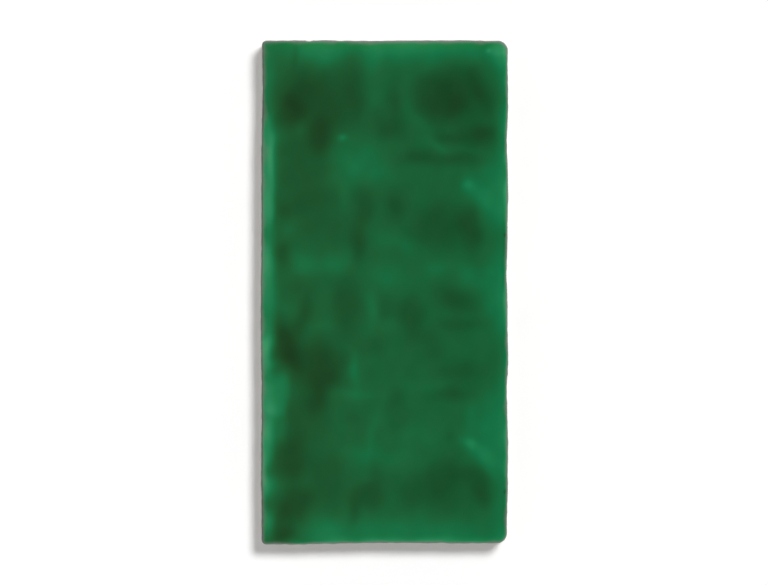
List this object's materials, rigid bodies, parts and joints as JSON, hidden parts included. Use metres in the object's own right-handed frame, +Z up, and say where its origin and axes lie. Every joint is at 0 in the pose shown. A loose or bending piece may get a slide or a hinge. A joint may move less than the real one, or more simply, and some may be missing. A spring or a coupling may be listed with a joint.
{
  "type": "wall tile",
  "caption": "Brick-format wall tile with a softly undulating glazed green face, rounded arrises, uneven hand-cut edges and a keyed back for adhesive.",
  "frame": {"origin": "middle of the flat back, on the surface that the tile lies on", "axes": "+X across the width, +Y along the length, +Z up through the thickness, out of the glazed face"},
  "size_m": [0.0648, 0.1322, 0.008],
  "materials": {
    "glaze": "gloss"
  },
  "bodies": {
    "root": {"wall_tile": "glaze"}
  },
  "joints": []
}
